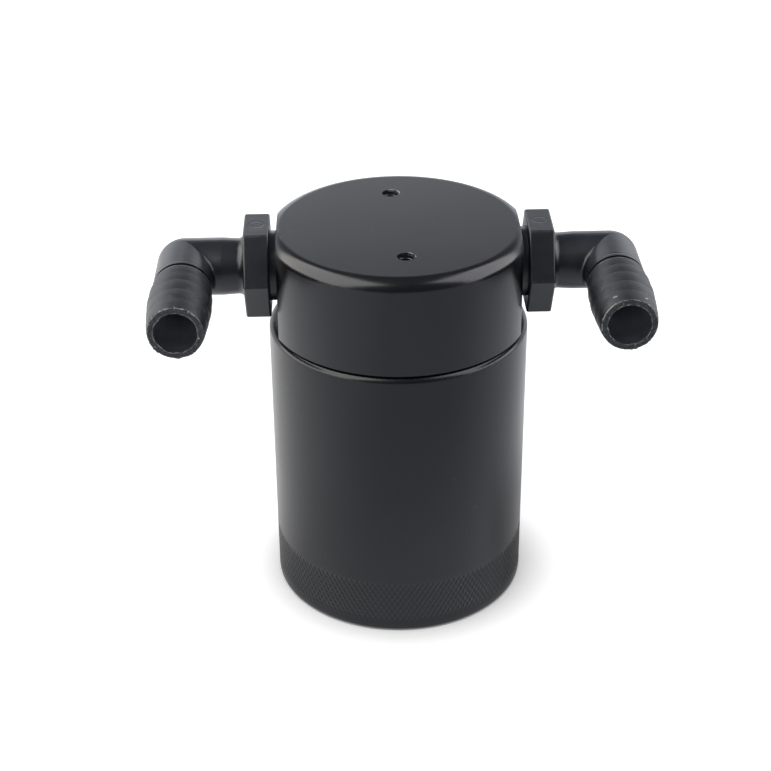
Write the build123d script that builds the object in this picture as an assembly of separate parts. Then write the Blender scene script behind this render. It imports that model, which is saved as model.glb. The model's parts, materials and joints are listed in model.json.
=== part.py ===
from build123d import *
import math
import os

# Oil catch can. It stands on z = 0 with its axis on Z, its ports along X and its hose barbs
# towards -Y. Sizes are in millimetres.

# Cup, turned from round bar
CUP_OD = 63.5
CUP_HEIGHT = 72.7
CUP_WALL = 4.0
CUP_FLOOR = 5.0
FLOOR_FILLET = 3.0
RIM_ROUND = 1.5
BASE_ROUND = 1.4
FOOT_HEIGHT = 2.4  # plain foot under the knurled band
KNURL_HEIGHT = 13.2
KNURL_DEPTH = 0.3  # the band is drawn at half this depth

# Screw joint between the cup and the head
THREAD_ROOM = 1.0  # thread root of the cup, outside its bore
THREAD_DEPTH = 0.85
THREAD_LENGTH = 10.0
SEAL_STEP = 0.3  # seal bore, outside the thread root
COLLAR_LENGTH = 4.4
COLLAR_FIT = 0.08  # radial running clearance of the collar
END_PLAY = 0.3  # collar above the step under it
THREAD_RUNOUT = 1.0
LEAD_IN = 0.35
SHOULDER_GAP = 0.5

# Seal ring in the collar
GROOVE_DEPTH = 1.72
GROOVE_WIDTH = 2.3
GROOVE_LAND = 0.9  # land over the groove
RING_FIT = 0.05
RING_PLAY = 0.15

# Head, turned from the same bar, with two milled port flats
HEAD_STEP = 0.35  # wall of the head, inside the wall of the cup
HEAD_HEIGHT = 24.3
HEAD_ROUND = 3.0
FLAT_DEPTH = 2.3
SKIRT_WALL = 3.5
SKIRT_CHAMFER = 0.6
ROOF_RISE = 1.0  # roof of the recess, above the shoulder
ROOF_FILLET = 1.5
BRACKET_SPACING = 36.5
BRACKET_TURN = 3.9  # degrees, line of the holes from square to the ports
BRACKET_DRILL = 4.2
BRACKET_DEPTH = 10.0
DRILL_POINT = 118.0

# Ports in the head
PORT_RISE = 13.9  # port axis, above the shoulder
PORT_DIA = 16.9  # taper thread where it enters the flat
PORT_TAPER = 0.0625  # on the diameter
PORT_PAST = 2.4  # port drilling, past the axis of the drop
DROP_DIA = 11.0
DROP_EDGE = 3.4  # wall between the drop and the bore of the skirt

# Elbow fittings
THREAD_FIT = 0.05
SPIGOT_ENGAGE = 10.0
STAND_OFF = 1.7
HEX_AF = 21.7
HEX_THICK = 6.1
HEX_EDGE = 0.5
NECK_OD = 13.2  # tube where it leaves the hexagon
BEND_OD = 13.9  # tube at the bend and up to the barb
TUBE_BORE = 10.0
TUBE_RUN = 14.3  # hexagon to the axis of the barb
TUBE_FILLET = 1.6
BEND_FILLET = 1.0  # inner corner of the bend
BARB_START = 12.2  # port axis to the start of the barb
BARB_NECK = 1.2
NECK_DEPTH = 0.35
BARB_CRESTS = (14.1, 14.8, 15.0, 14.5, 13.9)  # from the neck to the tip
BARB_STEP = 0.45
BARB_BELLY = 0.11  # each ring, outside a straight cone
CREST_ROUND = 0.12
BARB_PITCH = 4.15
TIP_OD = 12.8
TIP_ROUND = 0.4

# Filter pack under the head
TUBE_WALL = 1.0
TUBE_PRESS = 4.2
PRESS_FIT = 0.02
TUBE_REACH = 8.0  # below the lower plate
STUD_DIA = 5.0
STUD_ENGAGE = 8.0
STUD_TAIL = 1.2  # below the nut
SPACER_OD = 9.0
SPACER_FIT = 0.2
UPPER_SPACER = 18.0
PLATE_THICK = 1.2
PLATE_FIT = 0.55  # radial room to the bore of the cup
PLATE_HOLE = 6.0
PLATE_RINGS = ((20.5, 12), (11.5, 6))  # radius and count
TUBE_ROOM = 0.2
MESH_HEIGHT = 14.0
MESH_INSET = 0.3
WASHER_OD = 12.0
WASHER_THICK = 1.2
NUT_AF = 8.0
NUT_HEIGHT = 5.0

# Radii and heights that follow from these
cup_r = CUP_OD / 2
bore_r = cup_r - CUP_WALL
root_r = bore_r + THREAD_ROOM
seal_r = root_r + SEAL_STEP
collar_r = seal_r - COLLAR_FIT
groove_r = collar_r - GROOVE_DEPTH
male_r = root_r - THREAD_DEPTH
skirt_r = male_r - SKIRT_WALL
head_r = cup_r - HEAD_STEP
flat_x = head_r - FLAT_DEPTH
shoulder_z = CUP_HEIGHT + SHOULDER_GAP
top_z = shoulder_z + HEAD_HEIGHT
roof_z = shoulder_z + ROOF_RISE
collar_z = shoulder_z - COLLAR_LENGTH
skirt_z = collar_z - THREAD_LENGTH
groove_z = shoulder_z - GROOVE_LAND - GROOVE_WIDTH
seal_z = collar_z - END_PLAY
port_z = shoulder_z + PORT_RISE
drop_r = DROP_DIA / 2
drop_x = skirt_r - DROP_EDGE - drop_r
hex_x = flat_x + STAND_OFF
bend_x = hex_x + HEX_THICK + TUBE_RUN
barb_end = BARB_START + BARB_NECK + len(BARB_CRESTS) * BARB_PITCH
upper_z = roof_z - UPPER_SPACER - PLATE_THICK
lower_z = upper_z - MESH_HEIGHT - PLATE_THICK
nut_z = lower_z - WASHER_THICK - NUT_HEIGHT
plate_r = bore_r - PLATE_FIT
stud_r = STUD_DIA / 2
tube_r = drop_r - PRESS_FIT
drill_tip = 1 / math.tan(math.radians(DRILL_POINT / 2))  # height over radius


def corners(sketch, *points):
    return [sketch.vertices().sort_by_distance((x, y, 0))[0] for x, y in points]


# Cup: outside with rim round, foot and band, then the bore, the thread root and the seal bore
with BuildPart() as cup:
    band_r = cup_r - KNURL_DEPTH / 2
    band_z = FOOT_HEIGHT + KNURL_HEIGHT
    with BuildSketch(Plane.XZ) as profile:
        with BuildLine():
            Polyline(
                (0, 0),
                (cup_r, 0),
                (cup_r, FOOT_HEIGHT),
                (band_r, FOOT_HEIGHT),
                (band_r, band_z),
                (cup_r, band_z),
                (cup_r, CUP_HEIGHT),
                (seal_r, CUP_HEIGHT),
                (seal_r, seal_z),
                (root_r, seal_z),
                (root_r, skirt_z - THREAD_RUNOUT),
                (bore_r, skirt_z - THREAD_RUNOUT),
                (bore_r, CUP_FLOOR),
                (0, CUP_FLOOR),
                close=True,
            )
        make_face()
        fillet(corners(profile, (cup_r, 0)), BASE_ROUND)
        fillet(corners(profile, (cup_r, CUP_HEIGHT)), RIM_ROUND)
        fillet(corners(profile, (bore_r, CUP_FLOOR)), FLOOR_FILLET)
        chamfer(corners(profile, (seal_r, CUP_HEIGHT)), LEAD_IN)
    revolve(axis=Axis.Z)

# Head: turned body with collar, groove and threaded skirt
with BuildPart() as head:
    with BuildSketch(Plane.XZ) as profile:
        with BuildLine():
            Polyline(
                (0, roof_z),
                (0, top_z),
                (head_r, top_z),
                (head_r, shoulder_z),
                (collar_r, shoulder_z),
                (collar_r, groove_z + GROOVE_WIDTH),
                (groove_r, groove_z + GROOVE_WIDTH),
                (groove_r, groove_z),
                (collar_r, groove_z),
                (collar_r, collar_z),
                (male_r, collar_z),
                (male_r, skirt_z),
                (skirt_r, skirt_z),
                (skirt_r, roof_z),
                close=True,
            )
        make_face()
        fillet(corners(profile, (head_r, top_z)), HEAD_ROUND)
        fillet(corners(profile, (skirt_r, roof_z)), ROOF_FILLET)
        chamfer(corners(profile, (male_r, skirt_z)), SKIRT_CHAMFER)
    revolve(axis=Axis.Z)
    # Port flats, taper-tapped ports and the drops that meet them from below
    for side in (-1, 1):
        with Locations((side * (flat_x + FLAT_DEPTH), 0, shoulder_z)):
            Box(
                2 * FLAT_DEPTH,
                CUP_OD,
                HEAD_HEIGHT,
                align=(Align.CENTER, Align.CENTER, Align.MIN),
                mode=Mode.SUBTRACT,
            )
        port_end = drop_x - PORT_PAST
        port_end_r = (PORT_DIA - PORT_TAPER * (flat_x - port_end)) / 2
        with BuildSketch(Plane.XZ):
            with BuildLine():
                Polyline(
                    (side * flat_x, port_z),
                    (side * flat_x, port_z + PORT_DIA / 2),
                    (side * port_end, port_z + port_end_r),
                    (side * (port_end - port_end_r * drill_tip), port_z),
                    close=True,
                )
            make_face()
        revolve(axis=Axis((0, 0, port_z), (1, 0, 0)), mode=Mode.SUBTRACT)
        with Locations((side * drop_x, 0, roof_z)):
            Cylinder(
                drop_r,
                PORT_RISE - ROOF_RISE,
                align=(Align.CENTER, Align.CENTER, Align.MIN),
                mode=Mode.SUBTRACT,
            )
    # Blind bracket holes in the top
    for spot in PolarLocations(BRACKET_SPACING / 2, 2, start_angle=90 + BRACKET_TURN):
        hole_x, hole_y = spot.position.X, spot.position.Y
        hole_r = BRACKET_DRILL / 2
        with Locations((hole_x, hole_y, top_z)):
            Cylinder(
                hole_r,
                BRACKET_DEPTH,
                align=(Align.CENTER, Align.CENTER, Align.MAX),
                mode=Mode.SUBTRACT,
            )
        with Locations((hole_x, hole_y, top_z - BRACKET_DEPTH)):
            Cone(
                0,
                hole_r,
                hole_r * drill_tip,
                align=(Align.CENTER, Align.CENTER, Align.MAX),
                mode=Mode.SUBTRACT,
            )
    # Tapped hole for the stud
    with Locations((0, 0, roof_z)):
        Cylinder(
            stud_r + PRESS_FIT,
            STUD_ENGAGE,
            align=(Align.CENTER, Align.CENTER, Align.MIN),
            mode=Mode.SUBTRACT,
        )

# Seal ring: an O-ring squeezed between its groove and the seal bore
with BuildPart() as seal_ring:
    ring_width = seal_r - groove_r - 2 * RING_FIT
    ring_height = GROOVE_WIDTH - 2 * RING_PLAY
    with BuildSketch(Plane.XZ):
        with Locations(((seal_r + groove_r) / 2, groove_z + GROOVE_WIDTH / 2)):
            RectangleRounded(ring_width, ring_height, 0.47 * min(ring_width, ring_height))
    revolve(axis=Axis.Z)


# Bend of the elbow: a quarter ball at the corner and a reach along -Y
def bend(radius, reach):
    with BuildPart() as pipe:
        with BuildSketch(Plane.XZ):
            with Locations((bend_x, port_z)):
                Circle(radius)
        extrude(amount=reach)
        with BuildSketch(Plane.YZ.offset(bend_x)):
            with Locations((0, port_z)):
                Circle(radius)
                with Locations((-radius, 0)):
                    Rectangle(2 * radius, 2 * radius, mode=Mode.SUBTRACT)
        revolve(axis=Axis((bend_x, 0, port_z), (0, 0, -1)), revolution_arc=90)
    return pipe.part


# Elbow fitting: taper spigot, hexagon, bent tube and hose barb in one moulding
with BuildPart() as hexagon:
    with BuildSketch(Plane.YZ.offset(hex_x)):
        with Locations((0, port_z)):
            RegularPolygon(HEX_AF / 2, 6, major_radius=False)
    extrude(amount=HEX_THICK)
    fillet(hexagon.edges(), HEX_EDGE)

with BuildPart() as right_elbow:
    neck_r = NECK_OD / 2
    bend_r = BEND_OD / 2
    spigot_x = flat_x - SPIGOT_ENGAGE
    spigot_r = PORT_DIA / 2 - THREAD_FIT
    spigot_grow = PORT_TAPER / 2
    hex_out = hex_x + HEX_THICK
    hex_face = port_z + HEX_AF / 2 - 2 * HEX_EDGE
    with BuildSketch(Plane.XZ) as profile:
        with BuildLine():
            Polyline(
                (spigot_x, port_z),
                (spigot_x, port_z + spigot_r - spigot_grow * SPIGOT_ENGAGE),
                (hex_x, port_z + spigot_r + spigot_grow * STAND_OFF),
                (hex_x, hex_face),
                (hex_out, hex_face),
                (hex_out, port_z + neck_r),
                (bend_x - bend_r - 2 * BEND_FILLET, port_z + bend_r),
                (bend_x, port_z + bend_r),
                (bend_x, port_z),
                close=True,
            )
        make_face()
        fillet(corners(profile, (hex_out, port_z + neck_r)), TUBE_FILLET)
    revolve(axis=Axis((0, 0, port_z), (1, 0, 0)))
    add(bend(bend_r, BARB_START))
    fillet(right_elbow.edges().filter_by(GeomType.ELLIPSE), BEND_FILLET)
    add(hexagon.part)
    with BuildSketch(Plane.XY.offset(port_z)) as barb:
        with BuildLine():
            neck_x = bend_x + bend_r - NECK_DEPTH
            ring_y = -BARB_START - BARB_NECK
            crests = [(bend_x + dia / 2, ring_y - i * BARB_PITCH) for i, dia in enumerate(BARB_CRESTS)]
            Polyline(
                (bend_x, -barb_end),
                (bend_x, -BARB_START),
                (neck_x, -BARB_START),
                (neck_x, ring_y),
                crests[0],
            )
            for crest, after in zip(crests, crests[1:] + [None]):
                foot = (crest[0] - BARB_STEP, crest[1] - BARB_PITCH)
                if after is None:
                    foot = (bend_x + TIP_OD / 2, -barb_end)
                middle = ((crest[0] + foot[0]) / 2 + BARB_BELLY, (crest[1] + foot[1]) / 2)
                ThreePointArc(crest, middle, foot)
                Line(foot, after or (bend_x, -barb_end))
        make_face()
        fillet(corners(barb, *crests), CREST_ROUND)
        fillet(corners(barb, (bend_x + TIP_OD / 2, -barb_end)), TIP_ROUND)
    revolve(axis=Axis((bend_x, 0, port_z), (0, 1, 0)))
    add(bend(TUBE_BORE / 2, barb_end), mode=Mode.SUBTRACT)
    with Locations(Plane.YZ.offset(spigot_x)):
        with Locations((0, port_z)):
            Cylinder(
                TUBE_BORE / 2,
                bend_x - spigot_x,
                align=(Align.CENTER, Align.CENTER, Align.MIN),
                mode=Mode.SUBTRACT,
            )
left_elbow = mirror(right_elbow.part, about=Plane.YZ)

# Drop tube under the inlet, pressed into the head
with BuildPart() as drop_tube:
    tube_top = roof_z + TUBE_PRESS
    tube_length = tube_top - lower_z + TUBE_REACH
    with BuildSketch(Plane.XY.offset(tube_top)):
        with Locations((-drop_x, 0)):
            Circle(tube_r)
            Circle(tube_r - TUBE_WALL, mode=Mode.SUBTRACT)
    extrude(amount=-tube_length)

# Stud, screwed into the head, and the sleeves that space the plates on it
with BuildPart() as centre_stud:
    with BuildSketch(Plane.XY.offset(nut_z - STUD_TAIL)):
        Circle(stud_r)
    extrude(amount=roof_z + STUD_ENGAGE - nut_z + STUD_TAIL)

with BuildPart() as upper_spacer:
    with BuildSketch(Plane.XY.offset(roof_z)):
        Circle(SPACER_OD / 2)
        Circle(stud_r + SPACER_FIT, mode=Mode.SUBTRACT)
    extrude(amount=-UPPER_SPACER)

with BuildPart() as inner_spacer:
    with BuildSketch(Plane.XY.offset(upper_z)):
        Circle(SPACER_OD / 2)
        Circle(stud_r + SPACER_FIT, mode=Mode.SUBTRACT)
    extrude(amount=-MESH_HEIGHT)


# Perforated plate: a ring of holes, a stud hole and a clear hole for the drop tube
def plate(bottom):
    tube_gap = tube_r + TUBE_ROOM
    keep = tube_gap + PLATE_HOLE / 2 + PLATE_THICK
    with BuildPart() as disc:
        with BuildSketch(Plane.XY.offset(bottom)):
            Circle(plate_r)
            Circle(stud_r + SPACER_FIT, mode=Mode.SUBTRACT)
            with Locations((-drop_x, 0)):
                Circle(tube_gap, mode=Mode.SUBTRACT)
            for ring_r, count in PLATE_RINGS:
                spots = PolarLocations(ring_r, count)
                clear = [s for s in spots if (s.position - Vector(-drop_x, 0)).length > keep]
                with Locations(clear):
                    Circle(PLATE_HOLE / 2, mode=Mode.SUBTRACT)
        extrude(amount=PLATE_THICK)
    return disc.part


upper_baffle = plate(upper_z)
lower_baffle = plate(lower_z)

# Knitted wire pad between the plates
with BuildPart() as mesh_pad:
    with BuildSketch(Plane.XY.offset(lower_z + PLATE_THICK)):
        Circle(plate_r - MESH_INSET)
        Circle(SPACER_OD / 2 + SPACER_FIT, mode=Mode.SUBTRACT)
        with Locations((-drop_x, 0)):
            Circle(tube_r + TUBE_ROOM, mode=Mode.SUBTRACT)
    extrude(amount=MESH_HEIGHT)

# Washer and lock nut under the pack
with BuildPart() as washer:
    with BuildSketch(Plane.XY.offset(lower_z)):
        Circle(WASHER_OD / 2)
        Circle(stud_r + SPACER_FIT, mode=Mode.SUBTRACT)
    extrude(amount=-WASHER_THICK)

with BuildPart() as lock_nut:
    with BuildSketch(Plane.XY.offset(nut_z)):
        RegularPolygon(NUT_AF / 2, 6, major_radius=False)
        Circle(stud_r + PRESS_FIT, mode=Mode.SUBTRACT)
    extrude(amount=NUT_HEIGHT)

parts = {
    "cup": cup.part,
    "head": head.part,
    "seal_ring": seal_ring.part,
    "left_elbow": left_elbow,
    "right_elbow": right_elbow.part,
    "drop_tube": drop_tube.part,
    "centre_stud": centre_stud.part,
    "upper_spacer": upper_spacer.part,
    "inner_spacer": inner_spacer.part,
    "upper_baffle": upper_baffle,
    "lower_baffle": lower_baffle,
    "mesh_pad": mesh_pad.part,
    "washer": washer.part,
    "lock_nut": lock_nut.part,
}
os.makedirs("parts", exist_ok=True)
for name, shape in parts.items():
    export_step(shape, f"parts/{name}.step")
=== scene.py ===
import bmesh
import bpy
import json
import math
from mathutils import Matrix, Vector


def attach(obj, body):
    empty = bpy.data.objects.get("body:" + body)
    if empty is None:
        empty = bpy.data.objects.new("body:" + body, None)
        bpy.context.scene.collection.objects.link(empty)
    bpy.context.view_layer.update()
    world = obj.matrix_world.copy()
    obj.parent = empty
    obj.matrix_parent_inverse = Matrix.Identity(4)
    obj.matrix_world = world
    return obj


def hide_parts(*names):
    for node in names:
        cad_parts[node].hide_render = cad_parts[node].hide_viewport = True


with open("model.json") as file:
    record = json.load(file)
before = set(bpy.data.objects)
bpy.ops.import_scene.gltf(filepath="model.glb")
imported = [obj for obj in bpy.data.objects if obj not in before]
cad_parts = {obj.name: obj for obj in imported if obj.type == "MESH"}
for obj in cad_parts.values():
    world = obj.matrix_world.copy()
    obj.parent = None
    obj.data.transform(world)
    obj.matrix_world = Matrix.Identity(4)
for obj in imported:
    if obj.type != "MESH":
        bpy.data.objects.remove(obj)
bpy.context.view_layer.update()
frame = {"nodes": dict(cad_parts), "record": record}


# Black anodised finish, shared by the two turned pieces. Fine turning marks run round the can, the
# dye is a little uneven, the oxide skin is satin, and a few specks of dust lie on it.
BLACK_DYE = (0.0056, 0.0060, 0.0072, 1)
OXIDE_TINT = (0.885, 0.91, 1.0, 1)
DUST_GREY = (0.045, 0.046, 0.048, 1)
SPECK_SIZE = 0.045
SPECK_CHANCE = 0.4
MARK_DEPTH = 0.00002


def feed(socket, value):
    """Gives an input a plain value, or links it to the socket that the value comes from."""
    if isinstance(value, bpy.types.NodeSocket):
        socket.id_data.links.new(value, socket)
    else:
        socket.default_value = value


def put(tree, kind, settings=None, **inputs):
    """A new node with its settings and inputs. An input's name has a low line for each space."""
    made = tree.nodes.new(kind)
    for key, value in (settings or {}).items():
        setattr(made, key, value)
    for key, value in inputs.items():
        feed(made.inputs[key.replace("_", " ")], value)
    return made


def sum_of(operation, *values):
    """The result of a sum on sockets and numbers, worked out in the tree of its sockets."""
    tree = next(value.id_data for value in values if isinstance(value, bpy.types.NodeSocket))
    made = put(tree, "ShaderNodeMath", {"operation": operation})
    for socket, value in zip(made.inputs, values):
        feed(socket, value)
    return made.outputs[0]


def length_of(first, second):
    return sum_of("SQRT", sum_of("ADD", sum_of("POWER", first, 2.0), sum_of("POWER", second, 2.0)))


def between(value, low, high):
    """A mask from nought to one, turned into a value from low to high."""
    return put(value.id_data, "ShaderNodeMapRange", Value=value, To_Min=low, To_Max=high).outputs[0]


def blended(amount, first, second, how="MIX"):
    """The first colour with an amount of the second. The amount or the second is a socket."""
    tree = next(value.id_data for value in (amount, second) if isinstance(value, bpy.types.NodeSocket))
    settings = {"data_type": "RGBA", "blend_type": how}
    return put(tree, "ShaderNodeMix", settings, Factor=amount, A=first, B=second).outputs["Result"]


def embossed(skin, height, strength, depth):
    bump = put(skin.id_data, "ShaderNodeBump", Height=height, Strength=strength, Distance=depth)
    feed(skin.inputs["Normal"], bump.outputs["Normal"])


def effect(name, inputs, outputs):
    """An empty shader group, what its named inputs give, and its named outputs to be fed."""
    group = bpy.data.node_groups.new(name, "ShaderNodeTree")
    for label, usual in inputs.items():
        socket = group.interface.new_socket(label, in_out="INPUT", socket_type="NodeSocketFloat")
        socket.default_value = usual
    for label in outputs:
        group.interface.new_socket(label, in_out="OUTPUT", socket_type="NodeSocketFloat")
    return group, put(group, "NodeGroupInput").outputs, put(group, "NodeGroupOutput").inputs


def new_finish(name):
    finish = bpy.data.materials.new(name)
    finish.use_nodes = True
    return finish, finish.node_tree, finish.node_tree.nodes["Principled BSDF"]


turning, given, marks = effect(
    "turning_marks", {"Fineness": 900.0, "Unevenness": 60.0}, ("Height", "Patches", "Dust")
)
place = put(turning, "ShaderNodeTexCoord").outputs["Object"]
x, y, z = put(turning, "ShaderNodeSeparateXYZ", Vector=place).outputs
groove_line = put(
    turning,
    "ShaderNodeCombineXYZ",
    X=sum_of("MULTIPLY", length_of(x, y), given["Fineness"]),
    Y=sum_of("MULTIPLY", z, given["Fineness"]),
).outputs[0]
flat_noise = {"noise_dimensions": "2D"}
grooves = put(turning, "ShaderNodeTexNoise", flat_noise, Vector=groove_line, Scale=4.0, Detail=3.0)
feed(marks["Height"], grooves.outputs["Fac"])
cloud = put(turning, "ShaderNodeTexNoise", Vector=place, Scale=given["Unevenness"], Detail=4.0)
feed(marks["Patches"], cloud.outputs["Fac"])
specks = put(turning, "ShaderNodeTexVoronoi", Vector=place, Scale=210.0)
chance = put(turning, "ShaderNodeSeparateColor", Color=specks.outputs["Color"]).outputs[0]
fallen = sum_of("GREATER_THAN", chance, 1 - SPECK_CHANCE)
small = sum_of("LESS_THAN", specks.outputs["Distance"], SPECK_SIZE)
feed(marks["Dust"], sum_of("MULTIPLY", fallen, small))


def anodised_black(name, shine, rough):
    finish, tree, skin = new_finish(name)
    skin.inputs["Specular IOR Level"].default_value = shine
    skin.inputs["Specular Tint"].default_value = OXIDE_TINT
    marks = put(tree, "ShaderNodeGroup", {"node_tree": turning}).outputs
    dyed = blended(1.0, BLACK_DYE, between(marks["Patches"], 0.75, 1.25), "MULTIPLY")
    feed(skin.inputs["Base Color"], blended(marks["Dust"], dyed, DUST_GREY))
    feed(skin.inputs["Roughness"], between(marks["Patches"], rough - 0.04, rough + 0.04))
    embossed(skin, marks["Height"], 0.25, MARK_DEPTH)
    return finish


# Cup. Turned from aluminium bar with a rounded rim, bored out, threaded inside its mouth and black
# anodised. The foot carries a diamond knurl, rolled in for grip when the cup is screwed off.
cup_black = anodised_black("cup_black_anodise", 0.335, 0.26)
nodes = frame["nodes"]


def farthest(name, measure):
    """The largest measure of a solid's corners, to a thousandth of a millimetre."""
    return round(max(measure(corner.co) for corner in nodes[name].data.vertices), 6)


BAR_R = farthest("cup", lambda spot: spot.xy.length)
CUP_RIM = farthest("cup", lambda spot: spot.z)
INSIDE_SOLID = 0.000005
CUP_R = BAR_R - INSIDE_SOLID
RIM_ROUND = 0.0015
CUP_WALL = 0.004
CUP_BORE_R = BAR_R - CUP_WALL
TAPPED_R = CUP_BORE_R + 0.001
TAPPED_LOW = CUP_RIM - 0.0149
MOUTH_R = TAPPED_R + 0.0003
MOUTH_LOW = CUP_RIM - 0.0042
MOUTH_CHAMFER = 0.00035
CUP_FLOOR = 0.005
FLOOR_ROUND = 0.003
FOOT_ROUND = 0.001
ROUND_STEPS = 8
KNURL_LOW = 0.0020
KNURL_HIGH = 0.0156
KNURL_DEPTH = 0.00021
KNURL_STARTS = 142
KNURL_ROWS = 13
KNURL_TIP = 0.2
SCREW_PITCH = 0.0015
CUP_THREAD_START = TAPPED_LOW + 0.00125
ROOT_SUNK = 0.00003
WELD = 0.000002
SHARP_FOLD = math.radians(32.0)


def quarter(centre_r, centre_z, radius, start, sweep=90.0):
    turns = [math.radians(start + sweep * i / ROUND_STEPS) for i in range(ROUND_STEPS + 1)]
    return [(centre_r + radius * math.cos(t), centre_z + radius * math.sin(t)) for t in turns]


def turned(name, profile, turns):
    """Mesh of a profile swept round the axis through a list of turns, with a pole on the axis."""
    made = bmesh.new()
    rings = []
    for r, z in profile:
        if r == 0:
            rings.append([made.verts.new((0, 0, z))] * len(turns))
        else:
            rings.append([made.verts.new((r * math.cos(a), r * math.sin(a), z)) for a in turns])
    for low, high in zip(rings, rings[1:]):
        for i in range(len(turns)):
            j = (i + 1) % len(turns)
            corners = []
            for v in (low[i], low[j], high[j], high[i]):
                if v not in corners:
                    corners.append(v)
            if len(corners) > 2:
                made.faces.new(corners)
    shape = bpy.data.meshes.new(name)
    made.to_mesh(shape)
    made.free()
    return shape


cup_wall = [(CUP_R, KNURL_HIGH)]
cup_wall += quarter(CUP_R - RIM_ROUND, CUP_RIM - RIM_ROUND, RIM_ROUND, 0)
cup_wall += [(MOUTH_R + MOUTH_CHAMFER, CUP_RIM), (MOUTH_R, CUP_RIM - MOUTH_CHAMFER), (MOUTH_R, MOUTH_LOW)]
cup_wall += [(TAPPED_R, MOUTH_LOW), (TAPPED_R, TAPPED_LOW), (CUP_BORE_R, TAPPED_LOW)]
cup_wall += quarter(CUP_BORE_R - FLOOR_ROUND, CUP_FLOOR + FLOOR_ROUND, FLOOR_ROUND, 0, sweep=-90)
cup_wall += [(0, CUP_FLOOR)]
cup_foot = [(0, 0)] + quarter(CUP_R - FOOT_ROUND, FOOT_ROUND, FOOT_ROUND, -90) + [(CUP_R, KNURL_LOW)]
to_the_knurl = (0, KNURL_TIP / 2, 0.5, 1 - KNURL_TIP / 2)
cup_turns = [
    2 * math.pi * (start + share) / KNURL_STARTS for start in range(KNURL_STARTS) for share in to_the_knurl
]
wall_mesh = turned("cup_wall", cup_wall, cup_turns)
foot_mesh = turned("cup_foot", cup_foot, cup_turns)


def shaper(name, inputs):
    """An empty geometry tree and what its named inputs give."""
    tree = bpy.data.node_groups.new(name, "GeometryNodeTree")
    tree.interface.new_socket("Geometry", in_out="OUTPUT", socket_type="NodeSocketGeometry")
    for label, kind in inputs.items():
        tree.interface.new_socket(label, in_out="INPUT", socket_type="NodeSocket" + kind)
    return tree, put(tree, "NodeGroupInput").outputs


def run_of(index, size):
    """Which run of a size an index falls in. The small share keeps a whole result from rounding down."""
    return sum_of("FLOOR", sum_of("DIVIDE", sum_of("ADD", index, 0.01), size))


def point_on(turn, reach, height):
    """A place on the can, from its turn about the axis, how far out it is and its height."""
    return put(
        turn.id_data,
        "ShaderNodeCombineXYZ",
        X=sum_of("MULTIPLY", reach, sum_of("COSINE", turn)),
        Y=sum_of("MULTIPLY", reach, sum_of("SINE", turn)),
        Z=height,
    ).outputs[0]


def without(shape, chosen):
    """The shape with its chosen faces taken away."""
    settings = {"domain": "FACE"}
    cut = put(shape.id_data, "GeometryNodeDeleteGeometry", settings, Geometry=shape, Selection=chosen)
    return cut.outputs[0]


def coated(shape, weld, finish):
    """Ends a tree: the shape is made real, welded, given its finish and put out."""
    tree = shape.id_data
    real = put(tree, "GeometryNodeRealizeInstances", Geometry=shape).outputs[0]
    welded = put(tree, "GeometryNodeMergeByDistance", Geometry=real, Distance=weld).outputs[0]
    done = put(tree, "GeometryNodeSetMaterial", Geometry=welded, Material=finish).outputs[0]
    feed(put(tree, "NodeGroupOutput").inputs[0], done)


def baked(tree, name, values):
    """The mesh that a tree makes from the named values."""
    holder = bpy.data.objects.new(name, bpy.data.meshes.new(name))
    bpy.context.scene.collection.objects.link(holder)
    build = holder.modifiers.new(name, "NODES")
    build.node_group = tree
    for item in tree.interface.items_tree:
        if item.in_out == "INPUT" and item.name in values:
            build[item.identifier] = values[item.name]
    done = bpy.data.meshes.new_from_object(holder.evaluated_get(bpy.context.evaluated_depsgraph_get()))
    bpy.data.objects.remove(holder)
    return done


# The knurl: a staggered field of blunt diamonds, run out to the plain wall at both edges of the band.
knurl, given = shaper(
    "diamond_knurl",
    {
        "Radius": "Float",
        "Depth": "Float",
        "Starts": "Int",
        "Rows": "Int",
        "Diamond Height": "Float",
        "Bottom": "Float",
        "Top": "Float",
        "Lower Run-out": "Float",
        "Upper Run-out": "Float",
        "Tip": "Float",
        "Finish": "Material",
    },
)
spots = put(knurl, "GeometryNodeMeshGrid", Vertices_X=given["Starts"], Vertices_Y=given["Rows"])
index = put(knurl, "GeometryNodeInputIndex").outputs[0]
row = sum_of("FLOORED_MODULO", index, given["Rows"])
stagger = sum_of("MULTIPLY", sum_of("FLOORED_MODULO", row, 2.0), 0.5)
column = sum_of("ADD", run_of(index, given["Rows"]), stagger)
turn = sum_of("DIVIDE", sum_of("MULTIPLY", column, 2 * math.pi), given["Starts"])
root = sum_of("SUBTRACT", given["Radius"], given["Depth"])
lift = sum_of("MULTIPLY", sum_of("MULTIPLY", row, 0.5), given["Diamond Height"])
spot = point_on(turn, root, sum_of("ADD", given["Bottom"], lift))
laid = put(knurl, "GeometryNodeSetPosition", Geometry=spots.outputs["Mesh"], Position=spot)
diamond = put(
    knurl,
    "GeometryNodeMeshCone",
    {"fill_type": "NGON"},
    Vertices=4,
    Radius_Top=given["Tip"],
    Radius_Bottom=1.0,
    Depth=1.0,
)
facing = put(knurl, "GeometryNodeInputNormal").outputs[0]
looks_up = put(knurl, "ShaderNodeSeparateXYZ", Vector=facing).outputs[2]
open_diamond = without(diamond.outputs["Mesh"], sum_of("LESS_THAN", looks_up, -0.9))
lean = put(knurl, "ShaderNodeCombineXYZ", X=math.pi / 2, Z=sum_of("ADD", turn, math.pi / 2))
upright = put(knurl, "FunctionNodeEulerToRotation", Euler=lean.outputs[0])
span = put(
    knurl,
    "ShaderNodeCombineXYZ",
    X=sum_of("DIVIDE", sum_of("MULTIPLY", given["Radius"], math.pi), given["Starts"]),
    Y=sum_of("MULTIPLY", given["Diamond Height"], 0.5),
    Z=given["Depth"],
)
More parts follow.
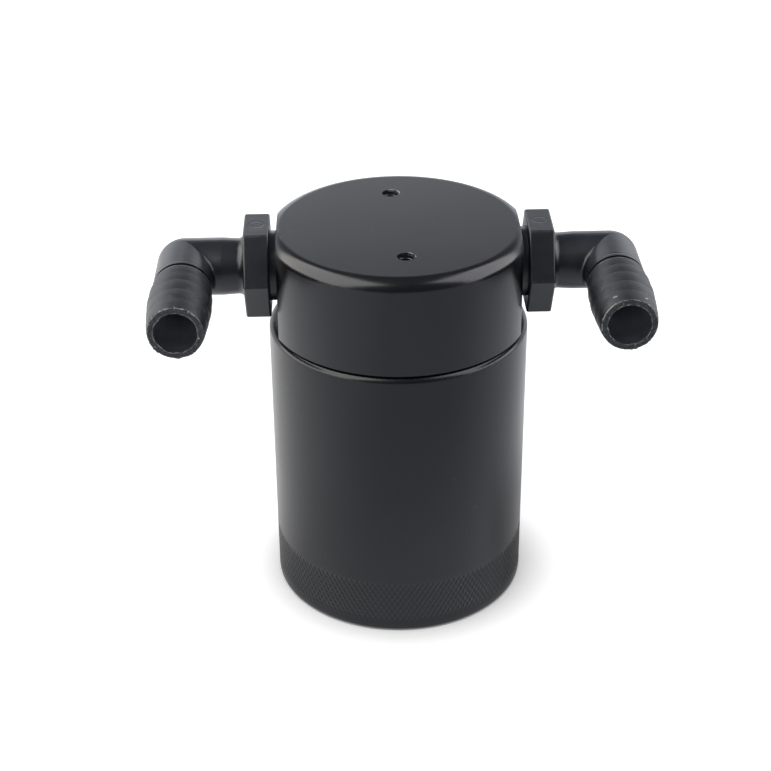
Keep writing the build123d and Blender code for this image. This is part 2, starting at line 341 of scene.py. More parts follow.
field = put(
    knurl,
    "GeometryNodeInstanceOnPoints",
    Points=laid.outputs[0],
    Instance=open_diamond,
    Rotation=upright.outputs[0],
    Scale=span.outputs[0],
)
rolled = put(knurl, "GeometryNodeRealizeInstances", Geometry=field.outputs[0])
spot = put(knurl, "GeometryNodeInputPosition").outputs[0]
x, y, z = put(knurl, "ShaderNodeSeparateXYZ", Vector=spot).outputs
kept_z = sum_of("MINIMUM", sum_of("MAXIMUM", z, given["Bottom"]), given["Top"])
from_low = sum_of("DIVIDE", sum_of("SUBTRACT", kept_z, given["Bottom"]), given["Lower Run-out"])
from_high = sum_of("DIVIDE", sum_of("SUBTRACT", given["Top"], kept_z), given["Upper Run-out"])
fade = sum_of("MINIMUM", sum_of("MINIMUM", from_low, from_high), 1.0)
reach = length_of(x, y)
sunk = sum_of("MULTIPLY", fade, sum_of("SUBTRACT", reach, given["Radius"]))
grow = sum_of("DIVIDE", sum_of("ADD", given["Radius"], sunk), reach)
run_out = put(
    knurl,
    "ShaderNodeCombineXYZ",
    X=sum_of("MULTIPLY", x, grow),
    Y=sum_of("MULTIPLY", y, grow),
    Z=kept_z,
)
trimmed = put(knurl, "GeometryNodeSetPosition", Geometry=rolled.outputs[0], Position=run_out.outputs[0])
flattened = sum_of("GREATER_THAN", sum_of("ABSOLUTE", looks_up), 0.7)
coated(without(trimmed.outputs[0], flattened), 0.00001, given["Finish"])
band_mesh = baked(
    knurl,
    "cup_knurl",
    {
        "Radius": CUP_R,
        "Depth": KNURL_DEPTH,
        "Starts": KNURL_STARTS,
        "Rows": KNURL_ROWS,
        "Diamond Height": 2 * (KNURL_HIGH - KNURL_LOW) / (KNURL_ROWS - 1),
        "Bottom": KNURL_LOW,
        "Top": KNURL_HIGH,
        "Lower Run-out": 0.0010,
        "Upper Run-out": 0.0021,
        "Tip": KNURL_TIP,
        "Finish": cup_black,
    },
)

# The thread: a strip of four corners wound round the axis, with a fifth row of points to close it. At
# each end the crest sinks over a third of a turn and the flanks come together.
thread, given = shaper(
    "screw_thread",
    {
        "Root Radius": "Float",
        "Crest Radius": "Float",
        "Taper": "Float",
        "Pitch": "Float",
        "Turns": "Float",
        "Start": "Float",
        "Root Width": "Float",
        "Crest Width": "Float",
        "Steps": "Int",
        "Finish": "Material",
    },
)
count = sum_of("ADD", sum_of("FLOOR", sum_of("MULTIPLY", given["Steps"], given["Turns"])), 1.0)
strip = put(thread, "GeometryNodeMeshGrid", Vertices_X=count, Vertices_Y=5)
index = put(thread, "GeometryNodeInputIndex").outputs[0]
corner = sum_of("FLOORED_MODULO", sum_of("FLOORED_MODULO", index, 5.0), 4.0)
turned_by = sum_of("DIVIDE", run_of(index, 5.0), given["Steps"])
all_turns = sum_of("DIVIDE", sum_of("SUBTRACT", count, 1.0), given["Steps"])
from_end = sum_of("MINIMUM", turned_by, sum_of("SUBTRACT", all_turns, turned_by))
fade = sum_of("MINIMUM", sum_of("MULTIPLY", from_end, 3.0), 1.0)
point = sum_of("MINIMUM", sum_of("MULTIPLY", from_end, 40.0), 1.0)
upper = sum_of("SUBTRACT", sum_of("MULTIPLY", sum_of("GREATER_THAN", corner, 1.5), 2.0), 1.0)
on_crest = sum_of("MULTIPLY", sum_of("GREATER_THAN", corner, 0.5), sum_of("LESS_THAN", corner, 2.5))
rise = sum_of("MULTIPLY", turned_by, given["Pitch"])
tall = sum_of("SUBTRACT", given["Crest Radius"], given["Root Radius"])
lift = sum_of("MULTIPLY", sum_of("MULTIPLY", on_crest, fade), tall)
reach = sum_of("ADD", sum_of("ADD", given["Root Radius"], lift), sum_of("MULTIPLY", rise, given["Taper"]))
narrowed = sum_of("MULTIPLY", on_crest, sum_of("SUBTRACT", given["Crest Width"], given["Root Width"]))
wide = sum_of("MULTIPLY", sum_of("ADD", given["Root Width"], narrowed), point)
flank = sum_of("MULTIPLY", sum_of("MULTIPLY", upper, wide), 0.5)
height = sum_of("ADD", sum_of("ADD", given["Start"], rise), flank)
spot = point_on(sum_of("MULTIPLY", turned_by, 2 * math.pi), reach, height)
wound = put(thread, "GeometryNodeSetPosition", Geometry=strip.outputs["Mesh"], Position=spot)
coated(wound.outputs[0], 0.000005, given["Finish"])
mouth_thread = baked(
    thread,
    "cup_thread",
    {
        "Root Radius": TAPPED_R + ROOT_SUNK,
        "Crest Radius": 0.02806,
        "Taper": 0.0,
        "Pitch": SCREW_PITCH,
        "Turns": 6.2,
        "Start": CUP_THREAD_START,
        "Root Width": 0.0012,
        "Crest Width": 0.0002,
        "Steps": 120,
        "Finish": cup_black,
    },
)


def finished(name, shells, finish, flat):
    """One object from closed shells. Each is welded from its meshes and faces outwards."""
    whole = bmesh.new()
    for shell in shells:
        made = bmesh.new()
        for part in shell:
            before = len(made.faces)
            made.from_mesh(part)
            made.faces.ensure_lookup_table()
            for face in made.faces[before:]:
                face.smooth = part not in flat
                face.material_index = 0
        bmesh.ops.remove_doubles(made, verts=made.verts, dist=WELD)
        bmesh.ops.recalc_face_normals(made, faces=made.faces)
        if made.calc_volume(signed=True) < 0:
            bmesh.ops.reverse_faces(made, faces=made.faces)
        closed = bpy.data.meshes.new(name)
        made.to_mesh(closed)
        made.free()
        whole.from_mesh(closed)
    shape = bpy.data.meshes.new(name)
    whole.to_mesh(shape)
    whole.free()
    shape.set_sharp_from_angle(angle=SHARP_FOLD)
    shape.materials.append(finish)
    piece = bpy.data.objects.new(name, shape)
    bpy.context.scene.collection.objects.link(piece)
    return piece


cup = finished("cup_body", [[wall_mesh, foot_mesh, band_mesh], [mouth_thread]], cup_black, flat=[band_mesh])
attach(cup, "cup")
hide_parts("cup")

# Seal ring. A moulded O-ring of black nitrile rubber that sits in the collar of the head and seals on
# the bore of the cup's mouth. It has a faint bloom and is duller than the anodised metal round it.
nitrile, tree, skin = new_finish("nitrile_rubber")
skin.inputs["Specular IOR Level"].default_value = 0.4
place = put(tree, "ShaderNodeTexCoord").outputs["Object"]
bloom = put(tree, "ShaderNodeTexNoise", Vector=place, Scale=240.0, Detail=4.0).outputs["Fac"]
feed(skin.inputs["Base Color"], blended(bloom, (0.006, 0.006, 0.006, 1), (0.016, 0.016, 0.017, 1)))
feed(skin.inputs["Roughness"], between(bloom, 0.4, 0.6))


def dress(name, finish):
    nodes[name].data.materials.clear()
    nodes[name].data.materials.append(finish)


dress("seal_ring", nitrile)

# Head. Turned from the same bar as the cup, with two milled port flats, two tapped bracket holes and
# a threaded skirt. Black anodised after machining, with bare nicks on the rims of the tapped holes.
head_black = anodised_black("head_black_anodise", 0.37, 0.23)
mounts = {m["name"]: m for m in frame["record"]["mounts"]}
HEAD_TOP = mounts["bracket_holes"]["pos_m"][2]
HOLE_R = mounts["bracket_holes"]["dims"]["hole_r_mm"] / 1000
HOLE_OUT = mounts["bracket_holes"]["dims"]["pcd_mm"] / 2000
HOLE_TURN = math.radians(93.9)
HOLE_DEEP = 0.010
M5_PITCH = 0.0008
SKIRT_R = TAPPED_R - 0.00085
HEAD_THREAD_START = CUP_THREAD_START + SCREW_PITCH / 2
# Painted light: the paler colour inside the tapped holes.
PAINTED_HOLE_LIGHT = (0.034, 0.036, 0.040, 1)
BARE_METAL = (0.66, 0.66, 0.66, 1)
back_hole = (HOLE_OUT * math.cos(HOLE_TURN), HOLE_OUT * math.sin(HOLE_TURN))


def step(value, low, high, eased="SMOOTHSTEP"):
    """A mask that goes from nought at the first value to one at the second."""
    settings = {"interpolation_type": eased}
    made = put(value.id_data, "ShaderNodeMapRange", settings, Value=value, From_Min=low, From_Max=high)
    return made.outputs[0]


def both(*masks):
    """The product of masks: one where all of them are."""
    product = masks[0]
    for mask in masks[1:]:
        product = sum_of("MULTIPLY", product, mask)
    return product


def speckle(where, scale, detail, stretch=(1, 1, 1)):
    tree = where.id_data
    shaped = put(tree, "ShaderNodeVectorMath", {"operation": "MULTIPLY"})
    feed(shaped.inputs[0], where)
    feed(shaped.inputs[1], stretch)
    noise = put(tree, "ShaderNodeTexNoise", Vector=shaped.outputs[0], Scale=scale, Detail=detail)
    return noise.outputs["Fac"]


# The two holes lie opposite each other, so one place and the sign of y serve for both of them.
tapping, given, marks = effect(
    "tapped_holes",
    {"Hole X": back_hole[0], "Hole Y": back_hole[1], "Hole R": HOLE_R, "Top Z": HEAD_TOP},
    ("Bare", "Inside"),
)
place = put(tapping, "ShaderNodeTexCoord").outputs["Object"]
x, y, z = put(tapping, "ShaderNodeSeparateXYZ", Vector=place).outputs
half = sum_of("SIGN", y)
from_x = sum_of("SUBTRACT", x, both(given["Hole X"], half))
from_y = sum_of("SUBTRACT", y, both(given["Hole Y"], half))
from_hole = length_of(from_x, from_y)
past_wall = sum_of("SUBTRACT", from_hole, given["Hole R"])
below_top = sum_of("SUBTRACT", given["Top Z"], z)
# Inside the holes the colour is made paler: painted light standing in for light in the holes.
painted_light_in_hole = both(step(past_wall, 0.00008, 0.00002), step(below_top, HOLE_DEEP + 0.002, HOLE_DEEP + 0.001))
feed(marks["Inside"], both(painted_light_in_hole, step(below_top, 0.00002, 0.0001)))
leaning = sum_of("ADD", sum_of("MULTIPLY", from_x, 0.7), sum_of("MULTIPLY", from_y, 0.71))
struck = step(sum_of("DIVIDE", leaning, from_hole), 0.3, 0.9)
rim = both(step(past_wall, 0.00034, 0.0001), step(past_wall, -0.00016, -0.00006))
at_top = step(below_top, 0.0006, 0.0002)
chips = step(speckle(place, 540.0, 3.0), 0.36, 0.56)
feed(marks["Bare"], both(rim, at_top, struck, chips))

tree = head_black.node_tree
skin = tree.nodes["Principled BSDF"]
marks = put(tree, "ShaderNodeGroup", {"node_tree": tapping}).outputs
dyed = skin.inputs["Base Color"].links[0].from_socket
shade = blended(marks["Inside"], dyed, PAINTED_HOLE_LIGHT)
feed(skin.inputs["Base Color"], blended(marks["Bare"], shade, BARE_METAL))
feed(skin.inputs["Metallic"], sum_of("MULTIPLY", marks["Bare"], 0.4))
dress("head", head_black)
skirt_thread = baked(
    thread,
    "head_thread",
    {
        "Root Radius": SKIRT_R - ROOT_SUNK,
        "Crest Radius": 0.02857,
        "Taper": 0.0,
        "Pitch": SCREW_PITCH,
        "Turns": 5.8,
        "Start": HEAD_THREAD_START,
        "Root Width": 0.0012,
        "Crest Width": 0.0002,
        "Steps": 120,
        "Finish": head_black,
    },
)
head_thread = finished("head_thread", [[skirt_thread]], head_black, flat=[skirt_thread])
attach(head_thread, "head")
screw_threads = []
for end in (1, -1):
    tapped = baked(
        thread,
        "tapped_thread",
        {
            "Root Radius": HOLE_R + ROOT_SUNK,
            "Crest Radius": HOLE_R - 0.00012,
            "Taper": 0.0,
            "Pitch": M5_PITCH,
            "Turns": 10.4,
            "Start": HEAD_TOP - 0.0089,
            "Root Width": 0.00058,
            "Crest Width": 0.00012,
            "Steps": 48,
            "Finish": head_black,
        },
    )
    tapped.transform(Matrix.Translation((end * back_hole[0], end * back_hole[1], 0)))
    screw_threads.append(tapped)
shells = [[tapped] for tapped in screw_threads]
bracket_threads = finished("bracket_threads", shells, head_black, flat=screw_threads)
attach(bracket_threads, "head")

# Elbow fittings. One black glass-filled nylon moulding on each side, screwed into the ports of the
# head by a taper thread. The hoses have scuffed the barbs, and the tips keep a pale rim of flash.
BARB_X, TIP_Y, PORT_Z = mounts["right_hose_barb"]["pos_m"]
PORT_FLAT = farthest("head", lambda spot: spot.x)
HEX_BACK = PORT_FLAT + 0.0017
HEX_THICK = 0.0061
HEX_HALF = farthest("right_elbow", lambda spot: spot.z) - PORT_Z
BORE_R = 0.005
BEND_R = 0.00695
TIP_R = 0.0064
PIN_R = 0.0016
FLASH_HALF_THICK = 0.00004
# Places along the barb, measured back from its tip.
FIRST_CREST = 0.02062
HOSE_REACH = 0.0215
NECK_LINE = 0.0231
NYLON_BLACK = (0.0050, 0.0070, 0.0115, 1)
NYLON_TINT = (0.9, 0.945, 1.0, 1)
NYLON_SHINE = 0.42
NYLON_MARKS_AND_PAINTED_LIGHT = {
    "Flow": (0.0086, 0.0112, 0.0165, 1),
    "Scuff": (0.017, 0.019, 0.023, 1),
    # The pale colour of the bore is painted light, not a colour of the nylon.
    "Inside": (0.42, 0.45, 0.52, 1),
    "Flash": (0.46, 0.46, 0.45, 1),
}

moulding, given, marks = effect(
    "moulding_marks",
    {"Barb X": BARB_X, "Port Z": PORT_Z, "Tip Y": TIP_Y, "Bore": BORE_R, "Pin X": HEX_BACK + HEX_THICK / 2},
    ("Flash", "Scuff", "Rubbed", "Inside", "Height", "Flow"),
)
place = put(moulding, "ShaderNodeTexCoord").outputs["Object"]
x, y, z = put(moulding, "ShaderNodeSeparateXYZ", Vector=place).outputs
out_x = sum_of("ABSOLUTE", x)
side_x = sum_of("SUBTRACT", out_x, given["Barb X"])
up_z = sum_of("SUBTRACT", z, given["Port Z"])
barb_r = length_of(side_x, up_z)
from_tip = sum_of("SUBTRACT", y, given["Tip Y"])
past_bore = sum_of("SUBTRACT", barb_r, given["Bore"])
over_rim = sum_of("ADD", past_bore, from_tip)
off_bore = step(past_bore, 0.00002, 0.00006)


def off(value, line):
    return sum_of("ABSOLUTE", sum_of("SUBTRACT", value, line))


# Two broken pale lines of flash round the tip's outer and inner edges.
around = put(
    moulding,
    "ShaderNodeCombineXYZ",
    X=sum_of("DIVIDE", side_x, barb_r),
    Y=sum_of("DIVIDE", up_z, barb_r),
    Z=sum_of("MULTIPLY", x, 40.0),
).outputs[0]
lines = []
for middle, waver, wide, coarse, whole in (
    (0.00112, 0.0006, 0.00022, 4.0, 0.46),
    (-0.00012, 0.0004, 0.00016, 5.0, 0.48),
):
    drift = sum_of("MULTIPLY", speckle(around, coarse, 5.0), waver)
    line = step(off(over_rim, sum_of("ADD", drift, middle)), wide, wide * 0.3)
    lines.append(both(line, step(speckle(around, coarse * 1.3, 8.0), whole - 0.06, whole + 0.2)))
flash = both(sum_of("MAXIMUM", *lines), off_bore)

# Scratches on the barb, wear on its first crest and on the hexagon's corners, and the tip's rough end.
# The corners' paler colour is partly a painted highlight of a rounded edge.
on_barb = both(step(from_tip, HOSE_REACH, HOSE_REACH - 0.0015), step(past_bore, 0.0006, 0.001))
scratches = step(speckle(place, 300.0, 7.0, (1, 6, 1)), 0.47, 0.64)
crest = both(step(off(from_tip, FIRST_CREST), 0.00034, 0.00010), step(past_bore, 0.0015, 0.0018))
crest = both(crest, sum_of("MULTIPLY_ADD", scratches, 0.3, 0.12))
tip_end = both(step(from_tip, 0.0003, 0.0001), off_bore)
rough_end = both(tip_end, step(speckle(place, 1900.0, 3.0), 0.45, 0.75))
# The hexagon's corners: real scuffing, with a paler colour that partly paints a rounded edge's highlight.
hex_r = length_of(y, up_z)
off_corner = both(sum_of("PINGPONG", sum_of("ARCTAN2", up_z, y), math.pi / 6), hex_r)
corner = both(step(off_corner, 0.00075, 0.0002), step(hex_r, HEX_HALF + 0.00075, HEX_HALF + 0.00105))
corner = both(corner, step(speckle(place, 420.0, 6.0), 0.42, 0.66))
scuffed = sum_of("MAXIMUM", both(on_barb, scratches), corner)
feed(marks["Scuff"], sum_of("MAXIMUM", scuffed, rough_end))
crumbs = both(step(speckle(place, 640.0, 4.0), 0.65, 0.73), step(from_tip, 0.007, 0.001), off_bore)
pale = sum_of("MAXIMUM", sum_of("MAXIMUM", flash, crest), crumbs)
feed(marks["Flash"], sum_of("MAXIMUM", pale, sum_of("MULTIPLY", rough_end, 0.14)))
feed(marks["Rubbed"], on_barb)

# The bore: painted light, a pale colour standing in for light inside it, paler towards its bend.
inside = both(step(past_bore, 0.00012, 0.00004), step(y, 0.004, 0.0))
feed(marks["Inside"], both(inside, sum_of("MULTIPLY_ADD", step(from_tip, 0.0, 0.012), 0.9, 0.1)))

# Relief: grain, the split line, uneven patches, drag marks on the barb, a line round the neck and the
# ring that an ejector pin leaves on the hexagon.
grain = sum_of("MULTIPLY", speckle(place, 1500.0, 5.0), 0.5)
split = step(sum_of("ABSOLUTE", up_z), 0.00016, 0.00005)
uneven = speckle(place, 260.0, 2.0)
dragged = both(on_barb, speckle(place, 320.0, 5.0, (1, 7, 1)))
on_neck = step(barb_r, BEND_R + 0.00105, BEND_R + 0.00065)
neck_line = both(step(off(from_tip, NECK_LINE), 0.00034, 0.00010), on_neck)
pin_r = length_of(sum_of("SUBTRACT", out_x, given["Pin X"]), y)
pin_ring = both(step(pin_r, PIN_R - 0.0003, PIN_R - 0.00005), step(pin_r, PIN_R + 0.0003, PIN_R + 0.00005))
pin_mark = both(pin_ring, step(up_z, HEX_HALF - 0.00025, HEX_HALF - 0.00015))
raised = sum_of("ADD", grain, sum_of("MULTIPLY", split, 0.8))
for mark, amount in ((uneven, 5.0), (dragged, 4.0), (neck_line, -22.0), (pin_mark, -3.0)):
    raised = sum_of("MULTIPLY_ADD", mark, amount, raised)
feed(marks["Height"], raised)
feed(marks["Flow"], speckle(place, 160.0, 3.0))

nylon, tree, skin = new_finish("glass_filled_nylon")
skin.inputs["Specular IOR Level"].default_value = NYLON_SHINE
skin.inputs["Specular Tint"].default_value = NYLON_TINT
marks = put(tree, "ShaderNodeGroup", {"node_tree": moulding}).outputs
shade = NYLON_BLACK
for label, colour in NYLON_MARKS_AND_PAINTED_LIGHT.items():
    shade = blended(marks[label], shade, colour)
feed(skin.inputs["Base Color"], shade)
rubbed = sum_of("MULTIPLY_ADD", marks["Rubbed"], 0.28, sum_of("MULTIPLY", marks["Scuff"], 0.3))
worn = sum_of("MULTIPLY", sum_of("MAXIMUM", marks["Flash"], rubbed), 0.3)
feed(skin.inputs["Roughness"], sum_of("ADD", between(marks["Flow"], 0.26, 0.40), worn))
embossed(skin, marks["Height"], 0.3, 0.00004)

torn_nylon, tree, skin = new_finish("torn_nylon")
skin.inputs["Specular IOR Level"].default_value = NYLON_SHINE
skin.inputs["Roughness"].default_value = 0.6
place = put(tree, "ShaderNodeTexCoord").outputs["Object"]
whitened = step(speckle(place, 700.0, 5.0), 0.42, 0.66)
feed(skin.inputs["Base Color"], blended(whitened, (0.012, 0.014, 0.017, 1), (0.50, 0.50, 0.49, 1)))

# The flash: a ring of three corners, with a fourth row of points to close it. Its edge is torn where the
# noise is strong and a thin lip elsewhere.
ragged, given = shaper(
    "ragged_flash",
    {
        "Radius": "Float",
        "Reach": "Float",
        "Back": "Float",
        "Tears": "Float",
        "Seed": "Float",
        "Steps": "Int",
        "Finish": "Material",
    },
)
ribbon = put(ragged, "GeometryNodeMeshGrid", Vertices_X=sum_of("ADD", given["Steps"], 1.0), Vertices_Y=4)
index = put(ragged, "GeometryNodeInputIndex").outputs[0]
edge = sum_of("FLOORED_MODULO", sum_of("FLOORED_MODULO", index, 4.0), 3.0)
outer = sum_of("COMPARE", edge, 1.0, 0.1)
turn = sum_of("DIVIDE", sum_of("MULTIPLY", run_of(index, 4.0), 2 * math.pi), given["Steps"])
level_x = sum_of("COSINE", turn)
level_z = sum_of("SINE", turn)
tear_at = put(ragged, "ShaderNodeCombineXYZ", X=level_x, Y=given["Seed"], Z=level_z).outputs[0]
tears = put(ragged, "ShaderNodeTexNoise", Vector=tear_at, Scale=given["Tears"], Detail=6.0, Roughness=0.7)
torn = sum_of("MAXIMUM", sum_of("SUBTRACT", tears.outputs[0], 0.44), 0.012)
fringe = sum_of("MULTIPLY", sum_of("MULTIPLY", torn, outer), sum_of("MULTIPLY", given["Reach"], 4.0))
reach = sum_of("ADD", given["Radius"], fringe)
spot = put(
    ragged,
    "ShaderNodeCombineXYZ",
    X=sum_of("MULTIPLY", reach, level_x),
    Y=sum_of("MULTIPLY_ADD", sum_of("SUBTRACT", edge, 1.0), FLASH_HALF_THICK, given["Back"]),
    Z=sum_of("MULTIPLY", reach, level_z),
).outputs[0]
torn_ring = put(ragged, "GeometryNodeSetPosition", Geometry=ribbon.outputs["Mesh"], Position=spot)
coated(torn_ring.outputs[0], 0.00001, given["Finish"])

for side, name in ((-1, "left_elbow"), (1, "right_elbow")):
    dress(name, nylon)
    pipe_thread = baked(
        thread,
        name + "_thread",
        {
            "Root Radius": 0.00838,
            "Crest Radius": 0.00865,
            "Taper": -1 / 32,
            "Pitch": 0.00141,
            "Turns": 1.6,
            "Start": 0.0011,
            "Root Width": 0.00125,
            "Crest Width": 0.0003,
            "Steps": 72,
            "Finish": nylon,
        },
    )
    pipe_thread.transform(Matrix.Rotation(math.radians(-90.0 * side), 4, "Y"))
    pipe_thread.transform(Matrix.Translation((side * HEX_BACK, 0, PORT_Z)))
    spigot = finished(name + "_thread", [[pipe_thread]], nylon, flat=[pipe_thread])
    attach(spigot, "head")
    fringes = []
    for radius, reach, back in ((TIP_R - 0.00013, 0.0004, 0.00012), (BORE_R + ROOT_SUNK, -0.00026, 0.00008)):
        fringe = baked(
            ragged,
            name + "_flash",
            {
                "Radius": radius,
                "Reach": reach,
                "Back": back,
                "Tears": 4.5,
                "Seed": 3.7 * side,
                "Steps": 240,
                "Finish": torn_nylon,
            },
        )
        fringe.transform(Matrix.Translation((side * BARB_X, TIP_Y, PORT_Z)))
        fringes.append(fringe)
    flash_rim = finished(name + "_flash", [[fringe] for fringe in fringes], torn_nylon, flat=fringes)
    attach(flash_rim, "head")

# Filter pack. Stainless plates, stud, washer and nut, aluminium tube and sleeves and a knitted wire
# pad, all carried under the head and out of sight while the can is closed.
STAINLESS = (0.55, 0.55, 0.54, 1)
ALUMINIUM = (0.72, 0.72, 0.73, 1)
# Painted shade: the dark colour in the gaps between the pad's strands.
PAINTED_SHADE_BETWEEN_WIRES = (0.03, 0.03, 0.03, 1)
stainless_pieces = ("upper_baffle", "lower_baffle", "centre_stud", "washer", "lock_nut")
aluminium_pieces = ("drop_tube", "upper_spacer", "inner_spacer")
for name, colour, rough, pieces in (
    ("stainless_sheet", STAINLESS, 0.3, stainless_pieces),
    ("bare_aluminium", ALUMINIUM, 0.28, aluminium_pieces),
):
    metal, tree, skin = new_finish(name)
    skin.inputs["Metallic"].default_value = 1.0
    skin.inputs["Base Color"].default_value = colour
    marks = put(tree, "ShaderNodeGroup", {"node_tree": turning}, Fineness=500.0).outputs
    feed(skin.inputs["Roughness"], between(marks["Patches"], rough - 0.06, rough + 0.1))
    embossed(skin, marks["Height"], 0.3, 0.00003)
    for piece in pieces:
        dress(piece, metal)
wires, tree, skin = new_finish("knitted_wire")
skin.inputs["Metallic"].default_value = 1.0
skin.inputs["Roughness"].default_value = 0.35
place = put(tree, "ShaderNodeTexCoord").outputs["Object"]
loops = put(tree, "ShaderNodeTexVoronoi", {"feature": "DISTANCE_TO_EDGE"}, Vector=place, Scale=700.0)
strand = step(loops.outputs["Distance"], 0.22, 0.04)
# Between the strands the colour is dark: painted shade in the gaps of the pad.
feed(skin.inputs["Base Color"], blended(strand, PAINTED_SHADE_BETWEEN_WIRES, STAINLESS))
embossed(skin, strand, 0.8, 0.0002)
dress("mesh_pad", wires)

# Studio. A sheet of white paper under a soft lamp, a white backdrop behind it and a large white panel
# on either side. The room in front and overhead is dim, which draws the edges of the black pieces.
WHITE = (1, 1, 1, 1)
PAPER_WHITE = (0.9, 0.9, 0.9, 1)
COOL_PAPER = (0.88, 0.93, 1.0, 1)
COOL_BACKDROP = (0.91, 0.935, 1.0, 1)
PAPER_HALF = 3.0
PAPER_FRONT = -0.42
TOUCH_SHADOW = 0.011
FILL_LIGHT = 0.28
LAMPS_AIM = Vector((0, 0, 0.095))

# The paper glows: painted light shows it white to the camera, whiter away from the can, with a painted
# shadow where the can touches it. The pieces mirror painted light from it: lighter on the left and just in
# front of the can, a painted shadow close beside it, and cooler on the right.
paper, tree, skin = new_finish("white_paper")
tree.nodes.remove(skin)
matt = put(tree, "ShaderNodeBsdfDiffuse", Color=PAPER_WHITE)
touching = put(tree, "ShaderNodeAmbientOcclusion", {"samples": 12}, Distance=TOUCH_SHADOW)
ray = put(tree, "ShaderNodeLightPath").outputs
shadow = sum_of("POWER", touching.outputs["AO"], 1.2)
place = put(tree, "ShaderNodeTexCoord").outputs["Object"]
x, y = put(tree, "ShaderNodeSeparateXYZ", Vector=place).outputs[:2]


def distance_between(first, second):
    measured = put(first.id_data, "ShaderNodeVectorMath", {"operation": "DISTANCE"})
    feed(measured.inputs[0], first)
    feed(measured.inputs[1], second)
    return measured.outputs["Value"]


far = step(distance_between(place, (0, 0, 0)), 0.12, 0.6)
seen = sum_of("MULTIPLY_ADD", shadow, 0.66, sum_of("MULTIPLY", far, 0.6))
seen = both(ray["Is Camera Ray"], seen)
mirrors = sum_of("ADD", ray["Is Glossy Ray"], ray["Is Transmission Ray"])
mirrored = 0.33
for way, start, full, gain in ((x, -0.03, -0.13, 0.28), (x, 0.03, 0.13, -0.06), (y, -0.12, -0.045, 0.24)):
    mirrored = sum_of("ADD", mirrored, sum_of("MULTIPLY", step(way, start, full), gain))
# Painted shadow close beside the can, heavier to the right, and painted light just in front of it.
close = step(distance_between(place, (0.018, 0, 0)), 0.085, 0.04)
ahead = sum_of("MULTIPLY_ADD", step(y, -0.012, -0.03), 0.55, -0.4)
mirrored = sum_of("MULTIPLY_ADD", close, ahead, mirrored)
glow = put(
    tree,
    "ShaderNodeEmission",
    Color=blended(both(mirrors, step(x, 0.0, 0.08)), WHITE, COOL_PAPER),
    Strength=sum_of("ADD", seen, both(mirrors, mirrored)),
)
laid_on = put(tree, "ShaderNodeAddShader")
feed(laid_on.inputs[0], matt.outputs[0])
feed(laid_on.inputs[1], glow.outputs[0])
feed(tree.nodes["Material Output"].inputs["Surface"], laid_on.outputs[0])
sheet = bpy.data.meshes.new("paper_sheet")
edges_x = (-PAPER_HALF, PAPER_HALF, PAPER_HALF, -PAPER_HALF)
edges_y = (PAPER_FRONT, PAPER_FRONT, PAPER_HALF, PAPER_HALF)
sheet.from_pydata([(x, y, 0) for x, y in zip(edges_x, edges_y)], [], [(0, 1, 2, 3)])
sheet.materials.append(paper)
floor = bpy.data.objects.new("paper_sheet", sheet)
bpy.context.scene.collection.objects.link(floor)

# The backdrop is plain white to the camera. The pieces mirror it brighter towards the floor behind the
# can, and more so on the left than on the right.
studio = bpy.data.worlds.new("studio")
studio.use_nodes = True
bpy.context.scene.world = studio
tree = studio.node_tree
sky = tree.nodes["Background"]
ray = put(tree, "ShaderNodeLightPath").outputs
looking = put(tree, "ShaderNodeTexCoord").outputs["Generated"]
x, y, z = put(tree, "ShaderNodeSeparateXYZ", Vector=looking).outputs
behind = step(y, 0.4, 0.75)
backdrop = both(step(z, 0.450, 0.347, "LINEAR"), behind)
mirrored = sum_of("MULTIPLY_ADD", backdrop, 1.48, 0.22)
for near, full, out, back, gain in ((-0.02, -0.1, -0.22, -0.12, 0.5), (0.05, 0.1, 0.145, 0.12, -0.14)):
    beside = both(step(x, near, full, "LINEAR"), step(x, out, back), behind)
    mirrored = both(mirrored, sum_of("MULTIPLY_ADD", beside, gain, 1.0))
glossy = sum_of("MINIMUM", sum_of("ADD", ray["Is Glossy Ray"], ray["Is Transmission Ray"]), 1.0)
direct = sum_of("MINIMUM", sum_of("ADD", glossy, ray["Is Camera Ray"]), 1.0)
fill = sum_of("MULTIPLY", sum_of("SUBTRACT", 1.0, direct), FILL_LIGHT)
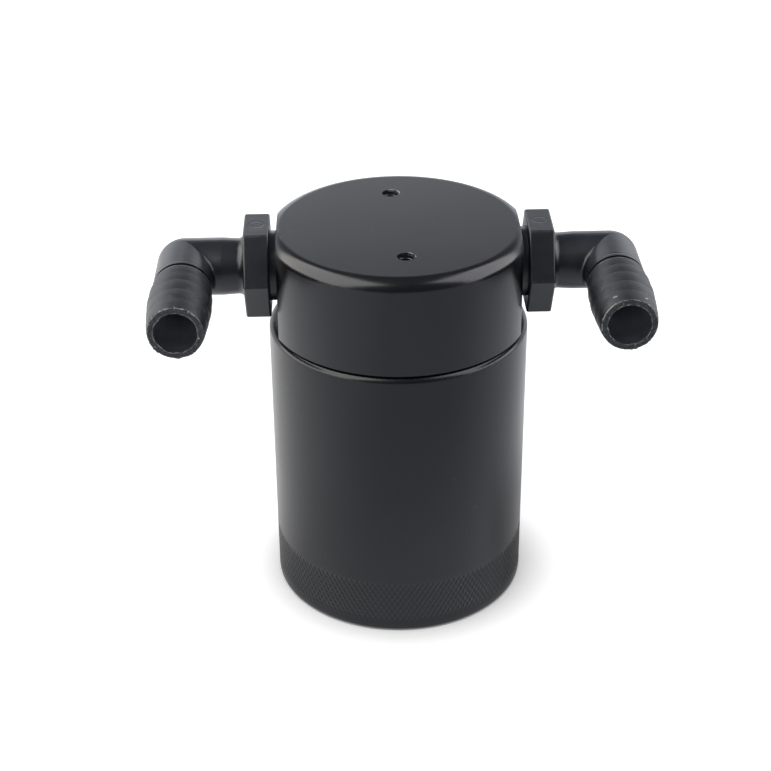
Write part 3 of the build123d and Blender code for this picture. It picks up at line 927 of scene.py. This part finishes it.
shown = sum_of("ADD", ray["Is Camera Ray"], both(glossy, mirrored))
feed(sky.inputs["Strength"], sum_of("ADD", shown, fill))
feed(sky.inputs["Color"], blended(glossy, WHITE, COOL_BACKDROP))

# The side panels light only the shine of the pieces, and the lamp overhead only their colour.
for name, spot_at, wide, tall, light, tone, shine in (
    ("panel_left", (-0.595, -0.105, 0.465), 1.26, 1.16, 5.35, (1.0, 0.955, 0.865), True),
    ("panel_right", (0.62, -0.05, 0.44), 0.88, 1.08, 4.6, (1.0, 0.965, 0.94), True),
    ("lamp_over", (-0.15, 0.0, 0.90), 0.9, 0.9, 2.1, (1.0, 1.0, 1.0), False),
):
    lamp = bpy.data.lights.new(name, "AREA")
    lamp.energy = light * math.pi * wide * tall
    lamp.color = tone
    lamp.shape = "RECTANGLE"
    lamp.size = wide
    lamp.size_y = tall
    box = bpy.data.objects.new(name, lamp)
    box.location = spot_at
    box.rotation_euler = (LAMPS_AIM - Vector(spot_at)).to_track_quat("-Z", "Y").to_euler()
    box.visible_diffuse = not shine
    box.visible_glossy = shine
    bpy.context.scene.collection.objects.link(box)

# Camera. A long lens above and in front of the can, turned a little off the axis of its ports. It looks
# down by about thirty degrees, so that the flat top and the front of the cup both show.
EYE_OUT = 0.37743
EYE_UP = 0.27035
OFF_AXIS = math.radians(1.82)
YAW = math.radians(0.50)
LOOK_DOWN = math.radians(29.951)
ROLL = math.radians(-0.46)
eye = bpy.data.cameras.new("camera")
eye.sensor_width = 36.0
eye.lens = 80.74
camera = bpy.data.objects.new("camera", eye)
bpy.context.scene.collection.objects.link(camera)
camera.matrix_world = (
    Matrix.Translation((-EYE_OUT * math.sin(OFF_AXIS), -EYE_OUT * math.cos(OFF_AXIS), EYE_UP))
    @ Matrix.Rotation(YAW - OFF_AXIS, 4, "Z")
    @ Matrix.Rotation(math.pi / 2 - LOOK_DOWN, 4, "X")
    @ Matrix.Rotation(ROLL, 4, "Z")
)
bpy.context.scene.camera = camera
bpy.context.scene.view_settings.view_transform = "Standard"
